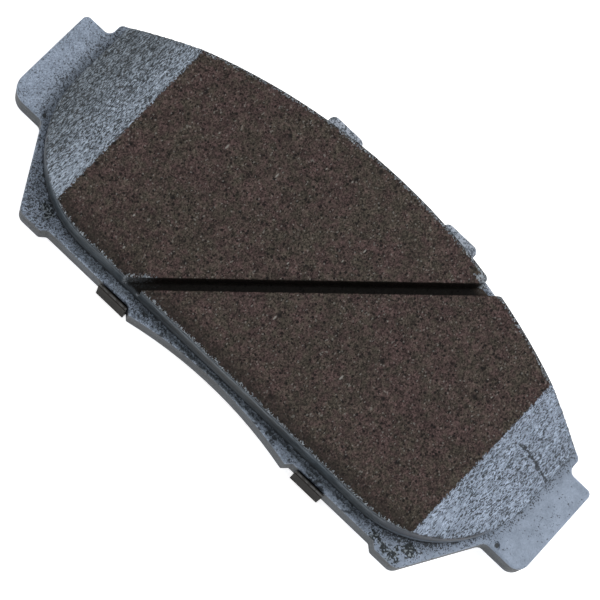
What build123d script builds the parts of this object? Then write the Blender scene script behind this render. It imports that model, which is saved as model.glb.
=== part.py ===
from build123d import *
import os

# Disc brake pad with a bonded, slotted friction block and a clip-on rubber-coated shim.
#
# The pad lies on its back: +Z points from the shim to the friction face, +X runs along the pad and
# +Y points radially outward, towards the rim of the disc. The origin is at the bottom centre of the
# bounding box, so z = 0 is the back face of the shim. All sizes are in millimetres.

# Layers, from the back up
rubber_thickness = 0.2
core_thickness = 0.4
plate_thickness = 6.0
film_thickness = 0.15
underlayer_thickness = 1.5
stack_thickness = 6.6            # film, underlayer and friction block together

shim_thickness = core_thickness + 2 * rubber_thickness
plate_back = shim_thickness
plate_front = plate_back + plate_thickness
underlayer_bottom = plate_front + film_thickness
block_bottom = underlayer_bottom + underlayer_thickness
block_top = plate_front + stack_thickness

# Backing plate outline
plate_length = 140.0
outer_arc_radius = 133.6
outer_arc_top = 28.55
shoulder_x = 63.6
ear_top = 9.15
ear_bottom = -13.45
ear_foot_left = 3.9              # radii of the ears' lower outer corners
ear_foot_right = 2.8
ear_corner = 1.2                 # ears' upper corners, and the shoulders above them
ear_root = 1.5                   # inner corners above and below each ear
flank_top_x = 60.8
flank_bottom_x = 51.1
lobe_bottom = -29.85
lobe_corner = 2.2
lobe_step_corner = 0.9           # where the lobe steps up to the recess
lobe_inner_x = 45.5
recess_end_x = 44.2
recess_y = -28.7
horn_foot_x = 22.4
horn_x = 21.2
horn_corner = 0.5
scallop_radius = 97.0
scallop_top = -27.55
bump_x = 15.9
bump_width = 8.8
bump_top = 29.95
bump_corner = 1.4
bump_root = 0.7
bump_overlap = 1.0               # how far each bump is sunk into the outline to join it
plate_edge_roll = 0.6            # soft edge that blanking leaves round the front face

# Moulding holes that the underlayer fills
anchor_hole_radius = 5.0
anchor_hole_x = 31.0
anchor_hole_y = 1.0
anchor_plug_recess = 0.4

# Small contact dimples at the roots of the ears
dimple_centres = (-61.2, 62.8)
dimple_y = -12.2
dimple_radii = (0.9, 0.55)
dimple_depth = 0.3

# Friction block outline
block_half_length = 61.6
block_outer_radius = 132.3
block_outer_top = 27.25
block_inner_y = -26.4
block_lower_corner = 24.0
block_upper_corner = 1.6

# End chamfers, ground across the face
chamfer_start_left = 47.0
chamfer_start_right = 48.6
chamfer_end_height = 3.5         # left above the plate at the ends of the block
chamfer_splay = 0.9              # degrees
wedge_width = 80.0
wedge_margin = 2.0               # how far the cutting wedges reach past the block

# Slot across the block
slot_width = 2.3
slot_angle = 43.9
slot_centre_y = -2.75
slot_floor = 2.0                 # above the plate
slot_mouth_radius = 1.2
slot_tip_radius = 0.4            # the sharp corner at the slot's inner mouth
slot_cut_length = 200.0          # longer than the block's diagonal

# Shim
shim_half_length = 56.0
shim_outer_radius = 132.1
shim_outer_top = 27.05
shim_inner_y = -26.4
shim_lower_corner = 18.0
shim_upper_corner = 4.0
tab_bend = 0.1                   # inside radius of the bend
tab_gap = 0.45                   # between a tab and the plate
tab_overlap = 3.0                # flat stretch that joins a tab to the sheet
inner_tab_width = 7.2
inner_tab_centres = (-25.85, 27.45)
inner_tab_top = plate_front + 0.3
outer_tab_width = 12.0
outer_tab_top = plate_back + 3.2

same_place = 0.01                # tolerance for finding a corner by its place

os.makedirs("parts", exist_ok=True)


def arc_y(radius, top, x):
    """Height at x of the arc of this radius whose highest point is (0, top)."""
    return top - radius + (radius**2 - x**2) ** 0.5


def corners(sketch, places, sides=(-1, 1)):
    """The sketch's vertices at these places, with X positive on side 1 and negative on side -1."""
    found = ShapeList()
    for x, y in places:
        for side in sides:
            found += [v for v in sketch.vertices() if abs(v.X - side * x) + abs(v.Y - y) < same_place]
    return found


def anchor_holes():
    return Locations((-anchor_hole_x, anchor_hole_y), (anchor_hole_x, anchor_hole_y))


# ---------------------------------------------------------------- sketches that pieces share

half_plate = plate_length / 2
shoulder_y = arc_y(outer_arc_radius, outer_arc_top, shoulder_x)
horn_y = scallop_top - arc_y(scallop_radius, 0, 0) + arc_y(scallop_radius, 0, horn_x)
bump_base = arc_y(outer_arc_radius, outer_arc_top, bump_x + bump_width / 2)

with BuildSketch(Plane.XY.offset(plate_back)) as plate_outline:
    with BuildLine():
        ThreePointArc((-shoulder_x, shoulder_y), (0, outer_arc_top), (shoulder_x, shoulder_y))
        ThreePointArc((-horn_x, horn_y), (0, scallop_top), (horn_x, horn_y))
        Polyline(
            (shoulder_x, shoulder_y),
            (shoulder_x, ear_top),
            (half_plate, ear_top),
            (half_plate, ear_bottom),
            (flank_top_x, ear_bottom),
            (flank_bottom_x, lobe_bottom),
            (lobe_inner_x, lobe_bottom),
            (recess_end_x, recess_y),
            (horn_foot_x, recess_y),
            (horn_x, horn_y),
        )
        Polyline(
            (-shoulder_x, shoulder_y),
            (-shoulder_x, ear_top),
            (-half_plate, ear_top),
            (-half_plate, ear_bottom),
            (-flank_top_x, ear_bottom),
            (-flank_bottom_x, lobe_bottom),
            (-lobe_inner_x, lobe_bottom),
            (-recess_end_x, recess_y),
            (-horn_foot_x, recess_y),
            (-horn_x, horn_y),
        )
    make_face()
    bump_height = bump_top - bump_base + bump_overlap
    with Locations((-bump_x, bump_top - bump_height / 2), (bump_x, bump_top - bump_height / 2)):
        Rectangle(bump_width, bump_height)
    bump_inner_x = bump_x - bump_width / 2
    bump_outer_x = bump_x + bump_width / 2
    fillet(corners(plate_outline, [(bump_inner_x, bump_top), (bump_outer_x, bump_top)]), bump_corner)
    fillet(corners(plate_outline, [(half_plate, ear_bottom)], [-1]), ear_foot_left)
    fillet(corners(plate_outline, [(half_plate, ear_bottom)], [1]), ear_foot_right)
    fillet(corners(plate_outline, [(half_plate, ear_top), (shoulder_x, shoulder_y)]), ear_corner)
    fillet(corners(plate_outline, [(shoulder_x, ear_top), (flank_top_x, ear_bottom)]), ear_root)
    fillet(corners(plate_outline, [(flank_bottom_x, lobe_bottom)]), lobe_corner)
    lobe_steps = corners(plate_outline, [(lobe_inner_x, lobe_bottom), (recess_end_x, recess_y)])
    fillet(lobe_steps, lobe_step_corner)
    fillet(corners(plate_outline, [(horn_x, horn_y), (horn_foot_x, recess_y)]), horn_corner)

block_end_y = arc_y(block_outer_radius, block_outer_top, block_half_length)

with BuildSketch() as block_outline:
    with BuildLine():
        ThreePointArc(
            (-block_half_length, block_end_y), (0, block_outer_top), (block_half_length, block_end_y)
        )
        Polyline(
            (block_half_length, block_end_y),
            (block_half_length, block_inner_y),
            (-block_half_length, block_inner_y),
            (-block_half_length, block_end_y),
        )
    make_face()
    fillet(corners(block_outline, [(block_half_length, block_inner_y)]), block_lower_corner)
    fillet(corners(block_outline, [(block_half_length, block_end_y)]), block_upper_corner)

shim_end_y = arc_y(shim_outer_radius, shim_outer_top, shim_half_length)

with BuildSketch() as shim_outline:
    with BuildLine():
        ThreePointArc(
            (-shim_half_length, shim_end_y), (0, shim_outer_top), (shim_half_length, shim_end_y)
        )
        Polyline(
            (shim_half_length, shim_end_y),
            (shim_half_length, shim_inner_y),
            (-shim_half_length, shim_inner_y),
            (-shim_half_length, shim_end_y),
        )
    make_face()
    fillet(corners(shim_outline, [(shim_half_length, shim_inner_y)]), shim_lower_corner)
    fillet(corners(shim_outline, [(shim_half_length, shim_end_y)]), shim_upper_corner)


# ---------------------------------------------------------------- end chamfers, as cutting wedges

def chamfer_wedge(start, side):
    """The material ground off one end: a wedge above the slope from the face to the block's end."""
    slope_end = block_half_length + wedge_margin
    drop = (stack_thickness - chamfer_end_height) / (block_half_length - start) * (slope_end - start)
    with BuildPart() as wedge:
        with BuildSketch(Plane.XZ.offset(-wedge_width / 2)):
            with BuildLine():
                Polyline(
                    (side * start, block_top),
                    (side * slope_end, block_top - drop),
                    (side * slope_end, block_top + wedge_margin),
                    (side * start, block_top + wedge_margin),
                    close=True,
                )
            make_face()
        extrude(amount=wedge_width)
    return wedge.part.rotate(Axis((side * start, 0, 0), (0, 0, 1)), -side * chamfer_splay)


left_wedge = chamfer_wedge(chamfer_start_left, -1)
right_wedge = chamfer_wedge(chamfer_start_right, 1)


# ---------------------------------------------------------------- backing plate

with BuildPart() as backing_plate:
    add(plate_outline.sketch)
    extrude(amount=plate_thickness)
    bump_roots = [
        e for e in backing_plate.edges().filter_by(Axis.Z)
        for x in (bump_inner_x, bump_outer_x)
        if abs(abs(e.center().X) - x) < same_place and e.center().Y < bump_base + bump_overlap * 2
    ]
    fillet(bump_roots, bump_root)
    fillet(backing_plate.faces().sort_by(Axis.Z)[-1].outer_wire().edges(), plate_edge_roll)
    with anchor_holes():
        Hole(anchor_hole_radius)
    with BuildSketch(Plane.XY.offset(plate_front)):
        with Locations(*[(x, dimple_y) for x in dimple_centres]):
            Ellipse(*dimple_radii, rotation=-45)
    extrude(amount=-dimple_depth, mode=Mode.SUBTRACT)

backing_plate.part.label = "backing_plate"
export_step(backing_plate.part, "parts/backing_plate.step")


# ---------------------------------------------------------------- adhesive film

with BuildPart() as bond_film:
    with BuildSketch(Plane.XY.offset(plate_front)):
        add(block_outline.sketch)
        with anchor_holes():
            Circle(anchor_hole_radius, mode=Mode.SUBTRACT)
    extrude(amount=film_thickness)

bond_film.part.label = "bond_film"
export_step(bond_film.part, "parts/bond_film.step")


# ---------------------------------------------------------------- underlayer with its anchor plugs

with BuildPart() as underlayer:
    with BuildSketch(Plane.XY.offset(underlayer_bottom)):
        add(block_outline.sketch)
    extrude(amount=underlayer_thickness)
    with BuildSketch(Plane.XY.offset(plate_back + anchor_plug_recess)):
        with anchor_holes():
            Circle(anchor_hole_radius)
    extrude(amount=underlayer_bottom - plate_back - anchor_plug_recess)

underlayer.part.label = "underlayer"
export_step(underlayer.part, "parts/underlayer.step")


# ---------------------------------------------------------------- friction block

slot_floor_z = plate_front + slot_floor

with BuildSketch(Plane.XY.offset(slot_floor_z)) as block_halves:
    add(block_outline.sketch)
    with Locations(Location((0, slot_centre_y), slot_angle)):
        Rectangle(slot_cut_length, slot_width, mode=Mode.SUBTRACT)
    slot_mouths = ShapeList(
        v for v in block_halves.vertices()
        if abs((v.Y - slot_centre_y) - v.X) < 3 * slot_width
    ).sort_by(Axis.Y)
    inner_mouth = slot_mouths[:2].sort_by(Axis.X)
    inner_tip_place = inner_mouth[-1].center()
    fillet([inner_mouth[0], *slot_mouths[2:]], slot_mouth_radius)
    fillet(block_halves.vertices().sort_by_distance(inner_tip_place)[0], slot_tip_radius)

with BuildPart() as friction_block:
    with BuildSketch(Plane.XY.offset(block_bottom)):
        add(block_outline.sketch)
    extrude(amount=slot_floor_z - block_bottom)
    add(block_halves.sketch)
    extrude(amount=block_top - slot_floor_z)
    add(left_wedge, mode=Mode.SUBTRACT)
    add(right_wedge, mode=Mode.SUBTRACT)

friction_block.part.label = "friction_block"
export_step(friction_block.part, "parts/friction_block.step")


# ---------------------------------------------------------------- shim: steel core between rubber coats

def tab_profile(x, edge, side, bottom, thickness, top):
    """One layer of a tab, seen along X, for a tab whose inside face stands at Y = edge.

    The layer starts flat under the plate, turns up round the bend and ends at the height top.
    """
    outside = edge + side * shim_thickness
    bend_z = tab_bend + shim_thickness
    bend_y = outside - side * bend_z
    root_y = bend_y - side * tab_overlap
    low = bottom
    high = bottom + thickness
    with BuildSketch(Plane.YZ.offset(x)) as profile:
        with BuildLine():
            Line((root_y, low), (bend_y, low))
            TangentArc((bend_y, low), (outside - side * low, bend_z), tangent=(side, 0))
            Line((outside - side * low, bend_z), (outside - side * low, top))
            Line((outside - side * low, top), (outside - side * high, top))
            Line((outside - side * high, top), (outside - side * high, bend_z))
            TangentArc((outside - side * high, bend_z), (bend_y, high), tangent=(0, -1))
            Line((bend_y, high), (root_y, high))
            Line((root_y, high), (root_y, low))
        make_face()
    return profile.sketch


def shim_layer(name, bottom, thickness):
    """One full layer of the shim: the flat sheet and its share of each tab."""
    inner_edge = recess_y - tab_gap
    outer_edge = outer_arc_top + tab_gap
    inner_tabs = [
        tab_profile(centre - inner_tab_width / 2, inner_edge, -1, bottom, thickness, inner_tab_top)
        for centre in inner_tab_centres
    ]
    outer_tab = tab_profile(-outer_tab_width / 2, outer_edge, 1, bottom, thickness, outer_tab_top)
    with BuildPart() as layer:
        with BuildSketch(Plane.XY.offset(bottom)):
            add(shim_outline.sketch)
        extrude(amount=thickness)
        for profile in inner_tabs:
            extrude(profile, amount=inner_tab_width)
        extrude(outer_tab, amount=outer_tab_width)
    layer.part.label = name
    export_step(layer.part, "parts/" + name + ".step")


shim_layer("shim_rubber_outer", 0, rubber_thickness)
shim_layer("shim_core", rubber_thickness, core_thickness)
shim_layer("shim_rubber_inner", rubber_thickness + core_thickness, rubber_thickness)
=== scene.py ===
import itertools
import math

import bmesh
import bpy
import numpy as np
from mathutils import Matrix, Vector
from mathutils.bvhtree import BVHTree


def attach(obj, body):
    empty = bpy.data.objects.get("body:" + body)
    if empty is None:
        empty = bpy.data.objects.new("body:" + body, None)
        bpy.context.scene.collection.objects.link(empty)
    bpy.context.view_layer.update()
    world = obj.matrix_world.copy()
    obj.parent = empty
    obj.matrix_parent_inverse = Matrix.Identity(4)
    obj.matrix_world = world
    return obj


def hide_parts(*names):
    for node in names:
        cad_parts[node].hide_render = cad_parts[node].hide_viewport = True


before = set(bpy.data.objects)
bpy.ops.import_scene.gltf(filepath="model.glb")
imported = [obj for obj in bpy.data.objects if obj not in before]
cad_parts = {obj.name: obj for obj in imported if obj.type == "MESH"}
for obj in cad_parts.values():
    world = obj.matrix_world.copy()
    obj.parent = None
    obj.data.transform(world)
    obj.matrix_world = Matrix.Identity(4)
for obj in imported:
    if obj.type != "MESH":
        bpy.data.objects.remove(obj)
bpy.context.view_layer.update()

# A disc brake pad lying on its back. Lengths are in millimetres, and are turned into metres where
# an object is made. Only the floor's width, the lights and the camera's clipping are in metres.
MM = 0.001

# Places on the pad that the looks follow
plate_front = 6.8
block_half_length = 61.6
block_inner_y = -26.4
block_lower_corner = 24.0
block_outer_top = 27.25
block_outer_radius = 132.3
chamfer_start_left = 47.0
chamfer_start_right = 48.6
chamfer_splay = math.tan(math.radians(0.9))
dimple_x = (-61.2, 62.8)
dimple_y = -12.2
slot_angle = math.radians(43.9)
slot_centre_y = -2.75
slot_half_width = 1.15
slot_floor = plate_front + 2.0

# Centres of the arcs in the block's outline: its two large inner corners, and its outer edge
corner_centre_x = block_half_length - block_lower_corner
corner_centre_y = block_inner_y + block_lower_corner
outer_centre_y = block_outer_top - block_outer_radius

# Marks on the paint: centre and radius of each stain, and the corners of one crooked scratch
plate_stains = (
    ((-47.2, -25.6, 6.8), 1.9),
    ((43.7, -28.3, 6.8), 1.1),
    ((46.7, -28.3, 6.8), 0.9),
    ((48.6, -28.0, 6.8), 1.7),
    ((50.8, -25.6, 6.8), 1.9),
)
scratch_points = (
    (52.7, 4.3, 12.4),
    (54.4, 4.8, 12.0),
    (56.8, 4.1, 11.4),
    (59.6, 3.8, 10.8),
    (61.6, 3.3, 10.3),
)

# Size of the quads that the friction block is remeshed to
block_voxel = 0.36


# ------------------------------------------------------------------ numbers from meshes

def lattice_noise(points, size, seed):
    """Smooth random values from -1 to 1, one per point, on a lattice of this size."""
    cell = points / size
    corner = np.floor(cell).astype(np.int64)
    part = cell - corner
    part = part * part * (3 - 2 * part)
    total = np.zeros(len(points))
    for offset in itertools.product((0, 1), repeat=3):
        key = (corner + offset) @ np.array([73856093, 19349663, 83492791]) + seed * 9176
        key = (key ^ (key >> 13)) * 1274126177 & 0xFFFFFFFF
        key = (key ^ (key >> 15)) * 2246822519 & 0xFFFFFFFF
        key ^= key >> 16
        weight = np.prod(np.where(offset, part, 1 - part), axis=1)
        total += ((key & 0xFFFF) / 32767.5 - 1) * weight
    return total


def ramp(values, low, high):
    """0 at low, 1 at high, smooth between. low may be above high."""
    part = np.clip((values - low) / (high - low), 0, 1)
    return part * part * (3 - 2 * part)


def positions(mesh):
    """The places of a mesh's vertices, in millimetres."""
    flat = np.empty(len(mesh.vertices) * 3)
    mesh.vertices.foreach_get("co", flat)
    return flat.reshape(-1, 3) / MM


def normals(mesh):
    """The directions that a mesh's vertices face."""
    flat = np.empty(len(mesh.vertices) * 3)
    mesh.vertex_normals.foreach_get("vector", flat)
    return flat.reshape(-1, 3)


def set_field(mesh, name, values):
    """Keeps one number per vertex under a name that materials can read."""
    mesh.attributes.new(name, "FLOAT", "POINT").data.foreach_set("value", values.astype(np.float32))


def block_outline_distance(points):
    """How far inside the friction block's outline each point is, seen from above."""
    across = np.maximum(np.abs(points[:, 0]) - corner_centre_x, 0)
    down = np.minimum(points[:, 1] - corner_centre_y, 0)
    lower = block_lower_corner - np.hypot(across, down)
    outer = block_outer_radius - np.hypot(points[:, 0], points[:, 1] - outer_centre_y)
    return np.minimum(lower, outer)


def slot_distance(points):
    """How far each point is outside the slot's two walls, seen from above."""
    across_slot = np.array([-math.sin(slot_angle), math.cos(slot_angle)])
    return np.abs((points[:, :2] - (0, slot_centre_y)) @ across_slot) - slot_half_width


def path_distance(points, corners):
    """How far each point is from a path of straight runs, up to 5 mm."""
    nearest = np.full(len(points), 100.0)
    for start, end in zip(np.array(corners), np.array(corners[1:])):
        run = end - start
        share = np.clip((points - start) @ run / (run @ run), 0, 1)
        nearest = np.minimum(nearest, np.linalg.norm(points - start - share[:, None] * run, axis=1))
    return np.minimum(nearest, 5)


def chamfer_distance(points):
    """How far each point is past the line where its end's chamfer starts, seen from above."""
    start = np.where(points[:, 0] < 0, chamfer_start_left, chamfer_start_right)
    return np.abs(points[:, 0]) - start - chamfer_splay * points[:, 1]


# ------------------------------------------------------------------ shader building

class Shader:
    """A material under construction, with short ways to add nodes. Sizes are in millimetres.

    place is where each spot is, with x, y and z apart, and uneven_place the same with a little
    jitter, for ragged shapes. level is 1 where the surface lies flat, and 0 on a wall.
    """

    def __init__(self, name):
        self.material = bpy.data.materials.new(name)
        self.material.use_nodes = True
        self.tree = self.material.node_tree
        self.surface = self.tree.nodes["Principled BSDF"]
        coordinates = self.tree.nodes.new("ShaderNodeTexCoord")
        self.place = self.vector("SCALE", coordinates.outputs["Object"], scale=1 / MM)
        xyz = self.tree.nodes.new("ShaderNodeSeparateXYZ")
        self.feed(xyz.inputs[0], self.place)
        self.x, self.y, self.z = xyz.outputs
        facing = self.tree.nodes.new("ShaderNodeSeparateXYZ")
        self.feed(facing.inputs[0], coordinates.outputs["Normal"])
        self.level = self.absolute(facing.outputs["Z"])
        jitter = self.tree.nodes.new("ShaderNodeTexNoise")
        self.feed(jitter.inputs["Vector"], self.place)
        jitter.inputs["Scale"].default_value = 4.0
        jitter.inputs["Detail"].default_value = 1.0
        shove = self.vector("SUBTRACT", jitter.outputs["Color"], (0.5, 0.5, 0.5))
        self.uneven_place = self.vector("ADD", self.place, self.vector("SCALE", shove, scale=0.14))

    def feed(self, socket, value):
        """Gives a socket its value: another node's output, a colour, or a constant."""
        if isinstance(value, bpy.types.NodeSocket):
            self.tree.links.new(value, socket)
        elif isinstance(value, tuple) and socket.type == "RGBA":
            socket.default_value = (*value, 1)
        else:
            socket.default_value = value

    def vector(self, operation, first, second=None, scale=None):
        node = self.tree.nodes.new("ShaderNodeVectorMath")
        node.operation = operation
        self.feed(node.inputs[0], first)
        if second is not None:
            self.feed(node.inputs[1], second)
        if scale is not None:
            self.feed(node.inputs["Scale"], scale)
        return node.outputs[0]

    def math(self, operation, first, second=None, third=None):
        node = self.tree.nodes.new("ShaderNodeMath")
        node.operation = operation
        for socket, value in zip(node.inputs, (first, second, third)):
            if value is not None:
                self.feed(socket, value)
        return node.outputs[0]

    def add(self, *values):
        total = values[0]
        for value in values[1:]:
            total = self.math("ADD", total, value)
        return total

    def times(self, *values):
        total = values[0]
        for value in values[1:]:
            total = self.math("MULTIPLY", total, value)
        return total

    def absolute(self, value):
        return self.math("ABSOLUTE", value)

    def larger(self, first, second):
        return self.math("MAXIMUM", first, second)

    def inverse(self, value):
        """1 where the value is 0, and 0 where it is 1."""
        return self.math("SUBTRACT", 1.0, value)

    def linear(self, value, start, rise):
        """start where the value is 0, and start + rise where it is 1."""
        return self.math("MULTIPLY_ADD", value, rise, start)

    def swing(self, value, width):
        """A value from 0 to 1, spread over this width about 0."""
        return self.times(self.add(value, -0.5), width)

    def length(self, first, second):
        """The long side of a right triangle."""
        return self.math("SQRT", self.add(self.times(first, first), self.times(second, second)))

    def distance(self, centre):
        """How far each spot is from this place."""
        node = self.tree.nodes.new("ShaderNodeVectorMath")
        node.operation = "DISTANCE"
        self.feed(node.inputs[0], self.place)
        self.feed(node.inputs[1], centre)
        return node.outputs["Value"]

    def step(self, value, low, high, start=0.0, end=1.0):
        """start at low, end at high, smooth between. low may be above high."""
        node = self.tree.nodes.new("ShaderNodeMapRange")
        node.interpolation_type = "SMOOTHSTEP"
        for socket, given in zip(node.inputs, (value, low, high, start, end)):
            self.feed(socket, given)
        return node.outputs[0]

    def field(self, name):
        """The number that set_field kept on the mesh under this name."""
        node = self.tree.nodes.new("ShaderNodeAttribute")
        node.attribute_name = name
        return node.outputs["Fac"]

    def stretched(self, stretch, turn=0.0, place=None):
        """The place, divided by stretch along each axis after a turn about Z."""
        node = self.tree.nodes.new("ShaderNodeMapping")
        node.inputs["Rotation"].default_value = (0, 0, turn)
        node.inputs["Scale"].default_value = tuple(1 / s for s in stretch)
        self.feed(node.inputs[0], place or self.place)
        return node.outputs[0]

    def noise(self, size, detail=2.0, roughness=0.5, stretch=(1, 1, 1), shift=0.0):
        """Cloudy random values from 0 to 1. Each shift gives other clouds."""
        node = self.tree.nodes.new("ShaderNodeTexNoise")
        node.noise_dimensions = "4D"
        self.feed(node.inputs["Vector"], self.stretched(stretch))
        node.inputs["W"].default_value = shift
        node.inputs["Scale"].default_value = 1 / size
        node.inputs["Detail"].default_value = detail
        node.inputs["Roughness"].default_value = roughness
        return node.outputs[0]

    def cells(self, size, stretch, turn):
        """Uneven cells of this size. Returns how far each spot is from its cell's middle, in cell
        sizes, and two random values from 0 to 1 for the cell."""
        node = self.tree.nodes.new("ShaderNodeTexVoronoi")
        self.feed(node.inputs["Vector"], self.stretched(stretch, turn, self.uneven_place))
        node.inputs["Scale"].default_value = 1 / size
        chance = self.tree.nodes.new("ShaderNodeSeparateColor")
        self.feed(chance.inputs[0], node.outputs["Color"])
        return node.outputs["Distance"], chance.outputs[0], chance.outputs[1]

    def spots(self, size, share, radius, stretch=(1, 1, 1), turn=0.0, softness=0.5):
        """Scattered round spots: one in each cell of this size, but only in this share of them.
        radius is the largest spot's, in cell sizes."""
        away, chance, bigness = self.cells(size, stretch, turn)
        chosen = self.math("LESS_THAN", chance, share)
        reach = self.linear(bigness, radius * 0.3, radius * 0.7)
        inner = self.math("MULTIPLY", reach, 1 - softness)
        return self.times(chosen, self.step(away, reach, inner))

    def grains(self, size, stretch=(1, 1, 1), turn=0.0):
        """Random values from 0 to 1, one for each packed grain of this size."""
        return self.cells(size, stretch, turn)[1]

    def gray(self, value):
        """A grey colour of this value."""
        node = self.tree.nodes.new("ShaderNodeCombineColor")
        for socket in node.inputs[:3]:
            self.feed(socket, value)
        return node.outputs[0]

    def mix(self, share, low, high, blend="MIX"):
        """The colour low where share is 0, and high where it is 1."""
        node = self.tree.nodes.new("ShaderNodeMix")
        node.data_type = "RGBA"
        node.blend_type = blend
        self.feed(node.inputs[0], share)
        self.feed(node.inputs[6], low)
        self.feed(node.inputs[7], high)
        return node.outputs[2]

    def tinted(self, color, tint):
        """The colour times another one."""
        return self.mix(1.0, color, tint, "MULTIPLY")

    def shaded(self, color, shade):
        """The colour times a number: darker under 1, lighter over it."""
        return self.tinted(color, self.gray(shade))

    def bump(self, height, distance):
        """A normal for a relief whose height of 1 stands this far out."""
        node = self.tree.nodes.new("ShaderNodeBump")
        node.inputs["Distance"].default_value = distance * MM
        self.feed(node.inputs["Height"], height)
        return node.outputs[0]

    def finish(self, color, roughness, normal=None, metallic=0.0, specular=0.5):
        """Connects the surface and returns the material."""
        self.feed(self.surface.inputs["Base Color"], color)
        self.feed(self.surface.inputs["Roughness"], roughness)
        self.feed(self.surface.inputs["Metallic"], metallic)
        self.feed(self.surface.inputs["Specular IOR Level"], specular)
        if normal is not None:
            self.feed(self.surface.inputs["Normal"], normal)
        return self.material


# ------------------------------------------------------------------ speckled paint

paint_light = (0.300, 0.358, 0.455)
paint_mid = (0.240, 0.290, 0.370)
# Darkest paint tone, used partly for painted shade
paint_darkened = (0.155, 0.185, 0.225)
speck_slate = (0.042, 0.049, 0.058)
speck_brown = (0.037, 0.039, 0.042)


def speckled_paint(s, density, stretch, grain, darkening):
    """Blue-grey paint over a rough ground. Returns the colour, and how much of the spot is bare.

    density is how much ground shows through: hardly any at -0.3, and nearly all at 1. grain is how
    uneven the paint itself is. The last argument is how far the paint is darkened, partly as painted
    shade.
    """
    cloud = s.noise(3.2, 3, 0.6, shift=4.0)
    base = s.mix(s.step(cloud, 0.30, 0.62), paint_mid, paint_light)
    base = s.mix(darkening, base, paint_darkened)
    fine = s.grains(0.19, stretch)
    middle = s.grains(0.32, stretch, 0.1)
    coarse = s.step(s.noise(0.75, 2, 0.6, stretch, shift=1.0), 0.25, 0.75)
    wear = s.add(s.times(fine, 0.58), s.times(middle, 0.28), s.times(coarse, 0.14))
    threshold = s.linear(density, 0.718, -0.435)
    bare = s.step(wear, s.add(threshold, -0.06), s.add(threshold, 0.06))
    tone = s.noise(1.4, 2, 0.5, shift=7.0)
    ground = s.mix(s.step(tone, 0.40, 0.62), speck_slate, speck_brown)
    color = s.mix(s.times(bare, 0.92), base, ground)
    sand = s.grains(0.25, stretch, 1.0)
    darkest = s.linear(grain, 1.0, -0.50)
    lightest = s.linear(grain, darkest, 1.05)
    shade = s.linear(sand, darkest, s.add(lightest, s.times(darkest, -1.0)))
    return s.shaded(color, shade), bare


# ------------------------------------------------------------------ backing plate

stain_slate = (0.014, 0.018, 0.019)
stain_fleck = (0.26, 0.30, 0.33)
shelf_dark = (0.055, 0.064, 0.072)
shelf_light = (0.42, 0.46, 0.53)
strip_blot = (0.018, 0.021, 0.023)
# The broken line along the strip is painted shade
strip_crease_shade = (0.020, 0.024, 0.027)
foot_dark = (0.022, 0.025, 0.028)
# Dimple colour: dirt, and painted shade in the hollow
dimple_dirt_and_shade = (0.036, 0.040, 0.043)
# The plate's edge: thin paint, painted darker as shade
plate_wall_dark = (0.004, 0.008, 0.013)
plate_wall_light = (0.030, 0.041, 0.054)


def outside_block(s):
    """How far each spot is outside the friction block's outline, seen from above."""
    across = s.larger(s.add(s.absolute(s.x), -corner_centre_x), 0.0)
    down = s.math("MINIMUM", s.add(s.y, -corner_centre_y), 0.0)
    lower = s.add(s.length(across, down), -block_lower_corner)
    outer = s.add(s.length(s.x, s.add(s.y, -outer_centre_y)), -block_outer_radius)
    return s.larger(lower, outer)


class PlateZones:
    """What the plate's looks follow: the distance from the block, places from 0 to 1, and noise."""

    def __init__(self, s):
        self.away = outside_block(s)
        self.left = s.step(s.x, 30.0, -30.0)
        self.strip = s.times(s.step(s.y, -20.0, -25.0), s.step(s.absolute(s.x), 46.0, 34.0))
        self.lobe = s.times(s.step(s.y, -18.0, -22.0), s.inverse(self.strip))
        reach = s.linear(self.left, 3.0, 3.5)
        near = s.step(s.math("DIVIDE", self.away, reach), 1.0, 0.0)
        self.near = s.times(near, s.add(1.0, s.times(self.lobe, self.left, -0.8)))
        self.patches = s.step(s.noise(3.4, 3, 0.65, shift=11.0), 0.30, 0.70)
        self.blots = s.noise(1.5, 3, 0.65, shift=21.0)


def worn_plate_paint(s, zones):
    """The plate's paint, barest near the block and on the lobes, with painted shadow over its upper
    left. Also how bare each spot is.
    """
    left, near, lobe, strip = zones.left, zones.near, zones.lobe, zones.strip
    density = s.add(
        -0.34,
        s.times(left, 0.20),
        s.times(near, s.linear(left, 0.58, -0.18)),
        s.times(lobe, s.linear(left, 0.30, 0.20)),
        s.times(lobe, s.inverse(left), s.step(zones.away, 2.4, 0.0), 0.42),
        s.times(strip, -0.25),
        s.swing(zones.patches, 0.30),
    )
    unevenness = s.add(0.18, s.times(left, 0.45), s.times(strip, 0.6))
    upper = s.step(s.y, -20.0, -10.0)
    # Painted shadow over the plate's upper left, deepest near the block
    shadow = s.times(left, s.linear(near, 0.15, 0.40), upper)
    # Along the strip the paint is dull, and darker towards the foot of the block's wall
    darker_near_block = s.step(s.add(zones.away, s.swing(zones.patches, 1.6)), 0.7, 2.0, 1.1, 0.35)
    darkening = s.add(shadow, s.times(strip, darker_near_block), s.times(lobe, left, 0.22))
    return speckled_paint(s, density, (1, 1, 1), unevenness, s.math("MINIMUM", darkening, 1.0))


def stained(s, zones, color):
    """Dark stains with ragged rims and a few light flecks in them."""
    ragged = s.swing(zones.blots, 6.5)
    gritty = s.swing(s.grains(0.5), 2.2)
    stain = 0.0
    for place, radius in plate_stains:
        reached = s.add(s.distance(place), ragged, gritty)
        stain = s.larger(stain, s.step(reached, radius, radius * 0.5))
    flecks = s.step(s.grains(0.30, turn=2.0), 0.80, 0.88)
    return s.mix(s.times(stain, 0.95), color, s.mix(flecks, stain_slate, stain_fleck))


def mottled_shelf(s, color):
    """Dark and light mottle on the narrow shelf along the plate's outer edge."""
    shelf = s.times(s.step(s.y, 10.0, 14.0), s.step(s.absolute(s.x), 36.0, 32.0))
    worn = s.add(s.times(s.noise(1.3, 3, 0.75, shift=24.0), 0.7), s.times(s.grains(0.30), 0.3))
    mottle = s.mix(s.step(worn, 0.44, 0.52), shelf_dark, shelf_light)
    return s.mix(s.times(shelf, 0.75), color, mottle)


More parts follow.
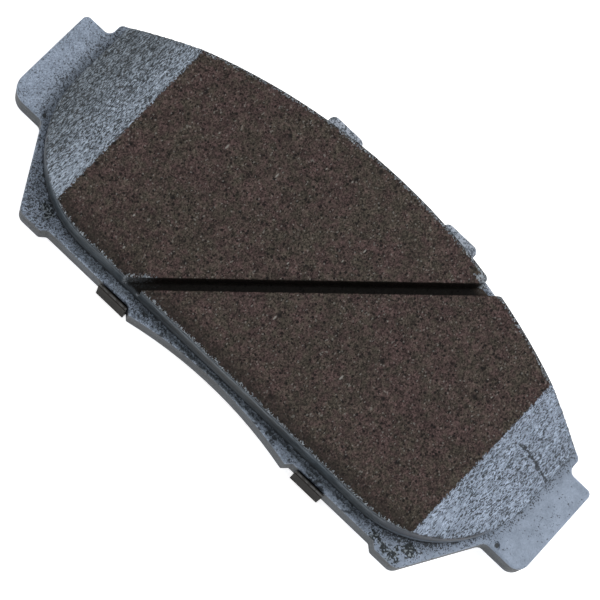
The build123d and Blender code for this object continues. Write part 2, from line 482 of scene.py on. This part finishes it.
def marked_strip(s, zones, color):
    """Dark blots, and one broken dark line of painted shade, along the strip between the plate's lobes.
    """
    away = zones.away
    middle = s.times(s.step(away, 0.4, 1.0), s.step(away, 3.2, 2.2), s.step(s.x, -26.0, -22.0))
    blot = s.times(s.step(zones.blots, 0.52, 0.57), middle, zones.strip)
    color = s.mix(s.times(blot, 0.85), color, strip_blot)
    # Painted shade: a broken dark line about 0.75 mm out from the block
    off_crease = s.absolute(s.add(away, s.swing(zones.blots, 1.4), -0.75))
    crease_shade = s.times(s.step(off_crease, 0.40, 0.15), zones.strip, s.step(s.x, -30.0, -14.0))
    broken = s.step(s.grains(0.34, turn=1.2), 0.75, 0.35, 0.25, 1.0)
    return s.mix(s.times(crease_shade, broken, 0.80), color, strip_crease_shade)


def foot_line(s, zones, color):
    """A frayed dark line on the plate along the foot of the block's inner wall."""
    frayed = s.add(zones.away, s.swing(zones.blots, 0.6), s.swing(s.grains(0.45), 0.5))
    line = s.times(s.step(frayed, 0.34, 0.12), s.step(s.y, -8.0, -18.0), 0.85)
    return s.mix(line, color, foot_dark)


def marked_dimples(s, zones, color):
    """A dark mark in the small dimple at the root of each ear: a bare, dirty bottom, and painted shade
    in the hollow.
    """
    for centre_x in dimple_x:
        place = (centre_x, dimple_y, plate_front)
        reached = s.add(s.distance(place), s.swing(zones.blots, 0.8))
        color = s.mix(s.times(s.step(reached, 0.66, 0.52), 0.95), color, dimple_dirt_and_shade)
    return color


def plate_walls(s, color):
    """The plate's blanked edge: thinly painted and darkened as painted shade, with streaks along it."""
    wall = s.times(s.step(s.z, plate_front - 0.25, plate_front - 0.8), s.step(s.level, 0.8, 0.5))
    streaks = s.noise(1.8, 3, 0.7, (6, 6, 1), shift=31.0)
    # The edge's colour is its thin paint, painted darker as shade
    side = s.mix(s.step(streaks, 0.38, 0.62), plate_wall_dark, plate_wall_light)
    return s.mix(wall, color, side)


def plate_paint():
    """Paint on the backing plate, peppered near the friction block and plain on the ears."""
    s = Shader("plate_paint")
    zones = PlateZones(s)
    color, bare = worn_plate_paint(s, zones)
    color = stained(s, zones, color)
    color = mottled_shelf(s, color)
    color = marked_strip(s, zones, color)
    color = foot_line(s, zones, color)
    color = marked_dimples(s, zones, color)
    color = plate_walls(s, color)

    fine = s.noise(0.35, 3, 0.6, shift=41.0)
    height = s.add(s.times(bare, -0.7), s.times(fine, 0.35), s.times(zones.patches, 0.15))
    rough = s.step(fine, 0.3, 0.7, 0.42, 0.58)
    return s.finish(color, rough, s.bump(height, 0.05), specular=0.2)


# ------------------------------------------------------------------ friction block, underlayer and film

compound_red = (0.060, 0.039, 0.037)
compound_olive = (0.051, 0.043, 0.034)
compound_dark = (0.007, 0.006, 0.006)
compound_fleck = (0.26, 0.25, 0.23)
compound_grime = (0.014, 0.012, 0.010)
chamfer_left_tint = (0.95, 0.93, 0.88)
scratch_dark = (0.030, 0.034, 0.040)
rim_dark = (0.035, 0.034, 0.034)
rim_rust = (0.070, 0.050, 0.042)
flake_light = (0.34, 0.38, 0.42)
flake_dull = (0.13, 0.15, 0.17)
arris_highlight_gray = (0.13, 0.145, 0.165)
# Wall colours: darker paint, painted darker as shade; the top one is a painted highlight
block_wall_low = (0.054, 0.064, 0.074)
block_wall_high = (0.030, 0.039, 0.047)
block_wall_top_highlight = (0.058, 0.072, 0.086)
block_corner_light = (0.20, 0.23, 0.27)
mouth_outer = (0.046, 0.034, 0.026)
mouth_inner = (0.040, 0.047, 0.055)
# Painted shade deep in the slot
slot_shade_black = (0.003, 0.0025, 0.002)
# The underlayer's darker paint, painted darker still as shade
underlayer_dark = (0.044, 0.052, 0.060)
underlayer_light = (0.064, 0.074, 0.085)
underlayer_corner = (0.20, 0.235, 0.285)
film_dark = (0.014, 0.015, 0.016)
film_light = (0.055, 0.058, 0.062)


class BlockZones:
    """What the block's looks follow: distances, places from 0 to 1, and noise."""

    def __init__(self, s):
        self.edge = s.field("edge")
        self.past = s.field("past")
        self.slot = s.field("slot")
        self.wall = s.field("wall")
        self.left = s.step(s.x, 5.0, -5.0)
        self.inner = s.step(s.y, -2.0, -14.0)
        self.ragged = s.noise(0.9, 3, 0.7, shift=12.0)
        self.torn = s.add(self.ragged, -0.5)
        along_y = s.times(s.add(s.y, -slot_centre_y), math.cos(slot_angle))
        self.over_slot = s.step(s.add(s.times(s.x, -math.sin(slot_angle)), along_y), 0.0, 0.2)


def compound_color(s):
    """Pressed compound: red-brown and olive patches with pores and light grains. Also its relief."""
    patch = s.noise(7.0, 3, 0.62, shift=3.0)
    warm = s.noise(1.3, 3, 0.6, shift=6.0)
    hue = s.add(s.times(patch, 0.45), s.times(warm, 0.55))
    base = s.mix(s.step(hue, 0.38, 0.62), compound_red, compound_olive)
    cloud = s.noise(2.2, 3, 0.6, shift=5.0)
    grain = s.noise(0.36, 2, 0.70, (1, 1.4, 1), shift=9.0)
    grit = s.grains(0.42, (1, 1.3, 1))
    sand = s.grains(0.24, (1, 1.2, 1), 0.4)
    shade = s.times(
        s.step(cloud, 0.3, 0.7, 0.80, 1.20),
        s.step(grain, 0.32, 0.68, 0.70, 1.26),
        s.linear(grit, 0.78, 0.45),
        s.linear(sand, 0.34, 1.25),
    )
    color = s.shaded(base, shade)
    pores = s.spots(0.75, 0.40, 0.55)
    pits = s.spots(2.6, 0.30, 0.36, softness=0.8)
    color = s.mix(s.times(s.larger(pores, pits), 0.9), color, compound_dark)
    crystals = s.step(s.grains(0.26, (1, 1.3, 1), 0.3), 0.965, 0.98)
    flecks = s.spots(1.5, 0.16, 0.17, (1, 1.8, 1), 0.5)
    slivers = s.spots(2.4, 0.20, 0.15, (1, 3.0, 1), -0.6)
    light = s.larger(s.larger(flecks, slivers), s.times(crystals, 0.5))
    color = s.mix(s.times(light, 0.8), color, compound_fleck)
    height = s.add(s.times(grain, 0.8), s.times(pores, -0.8), s.times(pits, -1.0), s.times(light, 0.3))
    return color, height


def soiled_edges(s, zones, compound):
    """Grime along the face's edges, widest along the inner one."""
    soiled = s.linear(zones.inner, 1.2, 4.2)
    dirt = s.step(s.add(zones.edge, s.times(zones.torn, 3.5)), soiled, 0.0)
    return s.mix(s.times(dirt, 0.70), compound, compound_grime)


def chamfer_paint(s, zones):
    """Paint on the two chamfers, streaked along Y by their grinding. Also how bare each spot is."""
    left, past = zones.left, zones.past
    upper_end = s.step(s.y, 2.0, 14.0)
    far_end = s.step(s.add(past, s.times(upper_end, 3.0)), 3.5, 11.0)
    patches = s.step(s.noise(4.5, 3, 0.6, (1, 1.4, 1), shift=14.0), 0.30, 0.70)
    streak = s.noise(0.34, 1, 0.5, (1, 16, 1), shift=15.0)
    clean = s.times(s.step(s.y, -12.0, -20.0), s.step(past, 7.0, 2.0))
    density = s.add(
        0.33,
        s.times(left, s.add(-0.03, s.times(far_end, 0.20))),
        s.times(clean, -0.28),
        s.swing(patches, 0.28),
        s.swing(streak, 0.9),
    )
    # Painted shade: the left chamfer is darker, most towards its far end
    darkening = s.times(left, s.add(0.15, s.times(far_end, 0.70)))
    unevenness = s.add(0.75, s.times(left, 0.45))
    paint, bare = speckled_paint(s, density, (0.68, 2.3, 1), unevenness, darkening)
    paint = s.shaded(paint, s.step(streak, 0.30, 0.70, 0.86, 1.14))
    return s.mix(left, paint, s.tinted(paint, chamfer_left_tint)), bare


def scratched(s, paint):
    """The crooked scratch on the right chamfer."""
    frayed = s.add(s.field("scratch"), s.swing(s.grains(0.45), 0.8))
    return s.mix(s.times(s.step(frayed, 0.50, 0.24), 0.9), paint, scratch_dark)


def worn_rim(s, zones, paint):
    """A thin worn line along the chamfers' inner edge, rusty in places."""
    rim = s.step(s.add(zones.edge, s.times(zones.torn, 1.4)), 0.45, 0.15)
    rim = s.times(rim, s.step(s.y, -10.0, -16.0), s.step(s.x, -20.0, 20.0, 0.35, 0.9))
    rust = s.mix(s.step(zones.ragged, 0.45, 0.6), rim_dark, rim_rust)
    return s.mix(rim, paint, rust)


def chamfer_share(s, zones):
    """1 past the chamfers' torn starting lines, and 0 on the face."""
    tear = s.add(s.noise(0.34, 2, 0.7, (1, 1.5, 1), shift=16.0), -0.5)
    return s.step(s.add(zones.past, s.times(zones.torn, 0.7), s.times(tear, 2.2)), -0.08, 0.08)


def flaked_edges(s, zones, on_face, color):
    """Chips of paint on the face along its long edges and beside the slot's two mouths, and a patchy
    painted highlight along the inner edge.
    """
    outward = s.step(s.y, 5.0, 12.0)
    slot_lip = s.times(s.step(zones.slot, 1.1, 0.1), zones.over_slot, s.step(s.y, -21.0, -24.0))
    inner_lip = s.times(s.step(zones.edge, 1.05, 0.0), s.step(s.y, -23.0, -24.5))
    outer_lip = s.times(s.step(zones.edge, 1.1, 0.4), outward, 0.75)
    corner = s.times(s.step(zones.edge, 2.3, 1.7), s.step(zones.slot, 2.3, 1.7), zones.over_slot)
    corner = s.times(corner, outward, 1.4)
    rubbed = s.larger(s.larger(inner_lip, slot_lip), s.larger(outer_lip, corner))

    share = s.math("MULTIPLY_ADD", rubbed, 0.85, s.times(zones.torn, 1.2))
    crumbs = s.add(s.times(s.grains(0.20, (1, 1.4, 1), 0.7), 0.7), s.times(s.grains(0.36), 0.3))
    chips = s.step(s.add(crumbs, s.times(share, 0.50)), 0.86, 0.92)
    flakes = s.times(chips, s.step(rubbed, 0.02, 0.15), on_face)
    pale = s.mix(s.step(zones.ragged, 0.42, 0.60), flake_light, flake_dull)
    color = s.mix(s.times(flakes, 0.85), color, pale)

    # Painted highlight: a patchy light line along the face's inner edge
    patchy = s.step(zones.ragged, 0.40, 0.50)
    arris_highlight = s.times(s.step(zones.edge, 0.26, 0.10), s.step(s.y, -20.0, -23.0), patchy)
    return s.mix(s.times(arris_highlight, on_face, 0.7), color, arris_highlight_gray)


def corner_paint(s):
    """How much of the light paint reached the block's walls: only round the two inner corners."""
    ends = s.larger(s.step(s.x, 38.0, 50.0), s.times(s.step(s.x, -49.0, -57.0), 0.7))
    return s.times(ends, s.step(s.y, -4.0, -11.0))


def block_walls(s, zones, paint):
    """The block's side walls: darker paint, painted darker still as shade, streaky, with more
    painted shade about the middle and a painted highlight along the top; light paint at the two
    inner corners."""
    # Darker paint, painted darker still as shade, and lighter at the foot
    upward = s.step(s.z, plate_front + 1.0, plate_front + 2.8)
    side = s.mix(upward, block_wall_low, block_wall_high)
    # Painted shade about the middle of the wall, above its foot
    middle_shade = s.step(s.absolute(s.x), 28.0, 12.0, 1.0, 0.42)
    over_foot = s.step(s.z, plate_front + 1.4, plate_front + 2.6)
    side = s.mix(over_foot, side, s.shaded(side, middle_shade))
    frayed = s.add(s.z, s.times(zones.torn, 0.8))
    # Painted highlight: a lighter band along the top of the wall
    highlight_band = s.step(frayed, plate_front + 4.6, plate_front + 5.1)
    side = s.mix(highlight_band, side, block_wall_top_highlight)
    streaks = s.noise(2.0, 3, 0.7, (7, 7, 1), shift=17.0)
    mottle = s.noise(0.9, 3, 0.7, (1.6, 1.6, 1), shift=26.0)
    side = s.shaded(side, s.step(streaks, 0.36, 0.64, 0.72, 1.28))
    side = s.shaded(side, s.step(mottle, 0.36, 0.64, 0.62, 1.38))
    return s.mix(corner_paint(s), side, s.mix(0.35, paint, block_corner_light))


def slot_walls(s, zones, paint):
    """The slot's inside: lighter at its two mouths, and painted nearly black within as shade."""
    mouth = s.mix(zones.inner, mouth_outer, mouth_inner)
    fade = s.linear(zones.inner, 3.2, -2.3)
    # Painted shade: the slot darkens to nearly black away from its mouths
    within = s.step(s.add(zones.edge, s.times(zones.torn, 2.0)), 0.3, fade)
    depths = s.mix(within, mouth, slot_shade_black)
    frayed = s.add(zones.edge, s.times(zones.torn, 0.8))
    spill = s.times(s.step(frayed, 0.9, 0.6), s.step(s.y, 8.0, 12.0))
    return s.mix(spill, depths, paint)


def block_surface():
    """The friction block: bare ground face, painted chamfers and walls, dark slot."""
    s = Shader("friction_compound")
    zones = BlockZones(s)
    compound, relief = compound_color(s)
    compound = soiled_edges(s, zones, compound)
    paint, bare = chamfer_paint(s, zones)
    paint = scratched(s, paint)
    paint = worn_rim(s, zones, paint)
    on_chamfer = chamfer_share(s, zones)
    color = s.mix(on_chamfer, compound, paint)
    color = flaked_edges(s, zones, s.inverse(on_chamfer), color)
    color = s.mix(zones.wall, color, block_walls(s, zones, paint))
    inside = s.step(zones.slot, 0.12, -0.05)
    color = s.mix(s.times(inside, 0.95), color, slot_walls(s, zones, paint))

    painted = s.larger(zones.wall, on_chamfer)
    fine = s.noise(0.30, 2, 0.6, shift=23.0)
    height = s.add(
        s.times(relief, s.inverse(painted)),
        s.times(bare, on_chamfer, -0.12),
        s.times(fine, 0.5),
    )
    rough = s.linear(painted, 0.72, -0.22)
    return s.finish(color, rough, s.bump(height, 0.09), specular=0.14)


def underlayer_surface():
    """The underlayer's edge: darker paint, painted darker as shade, most about the middle of the pad.
    """
    s = Shader("friction_base")
    tone = s.noise(2.2, 3, 0.6, (2.5, 2.5, 1), shift=17.0)
    grit = s.noise(0.4, 3, 0.6, shift=18.0)
    color = s.mix(s.step(tone, 0.3, 0.7), underlayer_dark, underlayer_light)
    # Painted shade about the middle of the pad
    color = s.shaded(color, s.step(s.absolute(s.x), 26.0, 4.0, 1.0, 0.72))
    color = s.mix(corner_paint(s), color, underlayer_corner)
    color = s.shaded(color, s.step(grit, 0.3, 0.7, 0.8, 1.2))
    return s.finish(color, 0.6, s.bump(grit, 0.05), specular=0.2)


def film_surface():
    """Cured adhesive, seen as a dark line round the foot of the block."""
    s = Shader("adhesive")
    beads = s.noise(0.5, 3, 0.6, shift=19.0)
    color = s.mix(s.step(beads, 0.35, 0.65), film_dark, film_light)
    return s.finish(color, 0.6, s.bump(beads, 0.04), specular=0.2)


# ------------------------------------------------------------------ shim

rubber_dark = (0.016, 0.015, 0.013)
rubber_light = (0.022, 0.020, 0.018)
steel_sheared = (0.090, 0.090, 0.090)
steel_broken = (0.035, 0.033, 0.031)


def rubber_surface():
    """Thin nitrile coat: warm dark grey with a fine orange-peel grain and paler rubbed places."""
    s = Shader("shim_rubber")
    grain = s.noise(0.28, 3, 0.6, shift=51.0)
    cloud = s.noise(2.5, 3, 0.6, shift=52.0)
    color = s.mix(s.step(cloud, 0.35, 0.65), rubber_dark, rubber_light)
    color = s.shaded(color, s.step(grain, 0.3, 0.7, 0.88, 1.12))
    rough = s.step(grain, 0.3, 0.7, 0.62, 0.76)
    return s.finish(color, rough, s.bump(grain, 0.02), specular=0.06)


def sheared_steel():
    """Cut edge of the shim's sheet: brighter where it sheared, dark where it broke."""
    s = Shader("shim_steel")
    breaks = s.noise(0.8, 3, 0.65, (1, 1, 0.6), shift=61.0)
    color = s.mix(s.step(breaks, 0.45, 0.58), steel_sheared, steel_broken)
    lines = s.noise(0.12, 2, 0.5, (6, 6, 1), shift=62.0)
    rough = s.step(lines, 0.3, 0.7, 0.30, 0.48)
    return s.finish(color, rough, s.bump(lines, 0.01), metallic=0.2, specular=0.3)


# ------------------------------------------------------------------ pieces

def new_piece(name, mesh, body, replaced):
    """An object that rides on a body and replaces CAD nodes."""
    piece = bpy.data.objects.new(name, mesh)
    bpy.context.scene.collection.objects.link(piece)
    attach(piece, body)
    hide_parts(*replaced)
    return piece


def voxel_copy(node, voxel):
    """A copy of a CAD node as an even net of quads of this size, laid back onto its surface."""
    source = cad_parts[node]
    work = bpy.data.objects.new(node + "_work", source.data.copy())
    bpy.context.scene.collection.objects.link(work)
    remesh = work.modifiers.new("even", "REMESH")
    remesh.mode = "VOXEL"
    remesh.voxel_size = voxel * MM
    graph = bpy.context.evaluated_depsgraph_get()
    mesh = bpy.data.meshes.new_from_object(work.evaluated_get(graph))
    bpy.data.objects.remove(work)
    surface = BVHTree.FromPolygons(
        [v.co for v in source.data.vertices], [p.vertices for p in source.data.polygons]
    )
    for vertex in mesh.vertices:
        vertex.co = surface.find_nearest(vertex.co)[0]
    return mesh


def flatten_base(mesh):
    """Joins the hidden underside's faces into one."""
    form = bmesh.new()
    form.from_mesh(mesh)
    base_z = min(v.co.z for v in form.verts)
    base = [f for f in form.faces if all(v.co.z < base_z + 0.02 * MM for v in f.verts)]
    bmesh.ops.dissolve_faces(form, faces=base, use_verts=False)
    form.to_mesh(mesh)
    form.free()


def block_wear(place, up, edge, slot, above_floor):
    """How far each point of the block is worn in.

    up is how much it faces up, and above_floor is true above the slot's floor. The face has pores
    and grit, the chamfers have grooves, the edges crumble, and the slot's walls are rough.
    """
    drop = place[:, 2].max() - place[:, 2]
    chamfer = ramp(drop, 0.02, 0.10) * up * above_floor
    face = up * (1 - chamfer) * above_floor
    pores = ramp(lattice_noise(place, 0.75, 3), 0.30, 0.75)
    grit = lattice_noise(place, 0.5, 4)
    along = place / (1, 2.6, 1)
    grooves = ramp(lattice_noise(along, 0.62, 5), 0.05, 0.70)
    swell = lattice_noise(place, 5.0, 6)

    sink = face * (0.08 * pores + 0.03 * (grit + 1))
    sink += chamfer * (0.03 * grooves + 0.012 * (grit + 1))
    rim = np.minimum(edge, np.where(above_floor, slot, edge))
    crumble = ramp(rim + 0.35 * lattice_noise(place, 0.8, 7), 0.75, 0.05)
    depth = np.where(chamfer > face, 0.03, 0.10)
    sink += np.maximum(face, chamfer) * crumble * depth * (2 + lattice_noise(place, 1.3, 8))
    sides = (1 - up) * (place[:, 2] > place[:, 2].min() + 0.3)
    in_slot = sides * (slot < 0.3)
    sink += sides * 0.02 * (swell + 1) + in_slot * 0.06 * (pores + grit + 1)
    return sink


def friction_block():
    """The block with its pores, ground chamfers, crumbled edges and rough slot."""
    mesh = voxel_copy("friction_block", block_voxel)
    flatten_base(mesh)
    place = positions(mesh)
    normal = normals(mesh)
    up = ramp(normal[:, 2], 0.5, 0.85)
    edge = block_outline_distance(place)
    slot = slot_distance(place)
    above_floor = place[:, 2] > slot_floor + 0.2

    sink = block_wear(place, up, edge, slot, above_floor)
    moved = place - normal * sink[:, None]
    mesh.vertices.foreach_set("co", (moved * MM).ravel())
    set_field(mesh, "edge", edge)
    set_field(mesh, "slot", np.where(above_floor | (slot < 0), slot, 1.0))
    set_field(mesh, "past", np.clip(chamfer_distance(place), -9, 20))
    set_field(mesh, "wall", (1 - up) * (slot > 0.3))
    set_field(mesh, "scratch", path_distance(place, scratch_points))
    mesh.polygons.foreach_set("use_smooth", [True] * len(mesh.polygons))
    mesh.update()
    mesh.materials.clear()
    mesh.materials.append(block_surface())
    return new_piece("friction_block_detail", mesh, "pad", ["friction_block"])


def dress(node, material):
    """Gives a CAD node its final material."""
    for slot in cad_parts[node].material_slots:
        slot.material = material


# ------------------------------------------------------------------ stage, lights and camera

def floor():
    """A white floor just under the pad, bright enough to look white all over."""
    mesh = bpy.data.meshes.new("floor")
    reach = 1.5
    low = -0.1 * MM
    corners = [(-reach, -reach, low), (reach, -reach, low), (reach, reach, low), (-reach, reach, low)]
    mesh.from_pydata(corners, [], [(0, 1, 2, 3)])
    plane = bpy.data.objects.new("floor", mesh)
    bpy.context.scene.collection.objects.link(plane)
    s = Shader("floor")
    tone = s.noise(40.0, 2, 0.5, shift=71.0)
    color = s.mix(tone, (0.82, 0.82, 0.82), (0.84, 0.84, 0.84))
    s.surface.inputs["Emission Color"].default_value = (1, 1, 1, 1)
    s.surface.inputs["Emission Strength"].default_value = 0.75
    mesh.materials.append(s.finish(color, 0.9, specular=0.1))


def softbox(name, place, size, power):
    """A square area light that faces the middle of the pad."""
    light = bpy.data.lights.new(name, "AREA")
    light.size = size
    light.energy = power
    lamp = bpy.data.objects.new(name, light)
    lamp.location = place
    lamp.rotation_euler = (-Vector(place)).to_track_quat("-Z", "Y").to_euler()
    bpy.context.scene.collection.objects.link(lamp)


def studio():
    """Even light from all round, and two softboxes."""
    world = bpy.data.worlds.new("studio")
    world.use_nodes = True
    world.node_tree.nodes["Background"].inputs["Color"].default_value = (1, 1, 1, 1)
    world.node_tree.nodes["Background"].inputs["Strength"].default_value = 0.36
    bpy.context.scene.world = world
    bpy.context.scene.view_settings.view_transform = "Standard"
    softbox("key", (0.30, 0.34, 0.70), 0.6, 4.6)
    softbox("fill", (-0.45, -0.20, 0.65), 0.8, 1.3)


def camera():
    """Looks down on the pad from its inner side, turned so that the pad lies across the frame."""
    tilt, lean, roll = math.radians(15.41), math.radians(1.72), math.radians(43.55)
    lens = bpy.data.cameras.new("camera")
    lens.lens = 149.61
    lens.sensor_width = 36
    lens.clip_start = 0.01
    view = bpy.data.objects.new("camera", lens)
    turn = Matrix.Rotation(tilt, 4, "X") @ Matrix.Rotation(lean, 4, "Y") @ Matrix.Rotation(roll, 4, "Z")
    view.matrix_world = Matrix.Translation(Vector((15.93, -135.59, 485.70)) * MM) @ turn
    bpy.context.scene.collection.objects.link(view)
    bpy.context.scene.camera = view


camera()
studio()
floor()
friction_block()
dress("backing_plate", plate_paint())
dress("bond_film", film_surface())
dress("underlayer", underlayer_surface())
rubber = rubber_surface()
dress("shim_rubber_inner", rubber)
dress("shim_rubber_outer", rubber)
dress("shim_core", sheared_steel())
